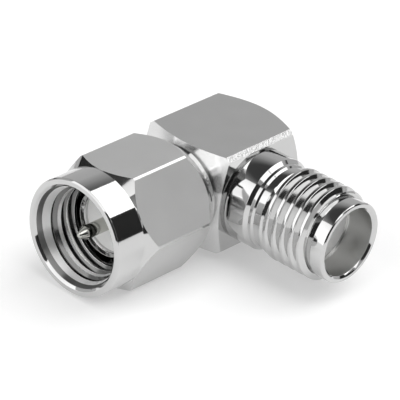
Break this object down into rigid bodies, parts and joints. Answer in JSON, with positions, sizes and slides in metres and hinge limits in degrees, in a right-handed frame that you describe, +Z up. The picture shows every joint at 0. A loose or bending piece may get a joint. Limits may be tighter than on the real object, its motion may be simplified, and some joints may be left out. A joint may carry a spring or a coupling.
{
  "type": "coax adapter",
  "caption": "Right-angle coaxial adapter: a plug with a hexagonal coupling nut and an externally threaded jack, joined by a square metal elbow block.",
  "frame": {"origin": "on the plug's axis, just ahead of the insulator inside its outer contact", "axes": "-Y out of the plug, +X out of the jack, +Z up"},
  "size_m": [0.0162, 0.0175, 0.0082],
  "materials": {
    "block": "bright nickel plate, fine turning and milling marks",
    "cap": "bright nickel plate",
    "barrel": "bright nickel plate",
    "ring": "spring steel, plain",
    "nut": "bright nickel plate, polished flats",
    "plug_insulator": "white insulator, matt",
    "pin": "dull plated contact",
    "shell": "bright nickel plate",
    "jack_insulator": "white insulator, matt",
    "socket": "dull plated contact",
    "solder": "solder"
  },
  "bodies": {
    "adapter": {"body_block": "block", "rear_cap": "cap", "plug_barrel": "barrel", "snap_ring": "ring", "plug_dielectric": "plug_insulator", "plug_pin": "pin", "jack_shell": "shell", "jack_dielectric": "jack_insulator", "jack_socket": "socket", "solder_joint": "solder"},
    "nut": {"coupling_nut": "nut"}
  },
  "joints": [
    {"name": "nut_spin", "type": "hinge", "parent": "adapter", "child": "nut", "pos_m": [0, 0.0042, 0], "axis": [0, 1, 0], "continuous": true}
  ]
}
